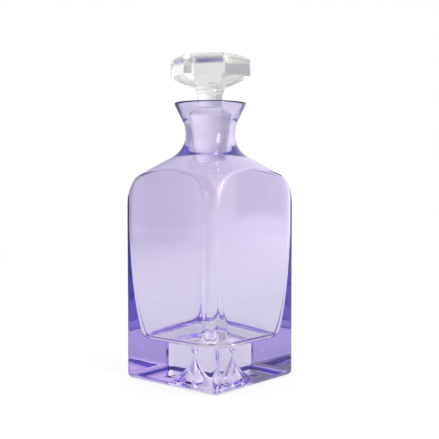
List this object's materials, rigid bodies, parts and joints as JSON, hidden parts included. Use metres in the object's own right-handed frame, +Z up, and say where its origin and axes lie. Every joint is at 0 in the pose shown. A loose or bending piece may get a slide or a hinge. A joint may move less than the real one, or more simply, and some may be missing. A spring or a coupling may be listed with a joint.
{
  "type": "spirit decanter",
  "caption": "Square glass spirit decanter with a thick solid base, a drawn air bubble under the floor, a flared lip and a faceted stopper that lifts out of the ground neck.",
  "frame": {"origin": "centre of the underside, on the surface the decanter stands on", "axes": "+Z up along the neck; the flat walls face X and Y"},
  "size_m": [0.09, 0.09, 0.2394],
  "materials": {
    "lavender_glass": "polished clear glass with a thin lavender layer on the outside",
    "clear_glass": "polished clear glass with ground facets"
  },
  "bodies": {
    "bottle": {"decanter_body": "lavender_glass"},
    "lift_stopper": {"stopper": "clear_glass"}
  },
  "joints": [
    {"name": "stopper_lift", "type": "slide", "parent": "bottle", "child": "lift_stopper", "axis": [0, 0, 1], "range_m": [0, 0.06]}
  ]
}
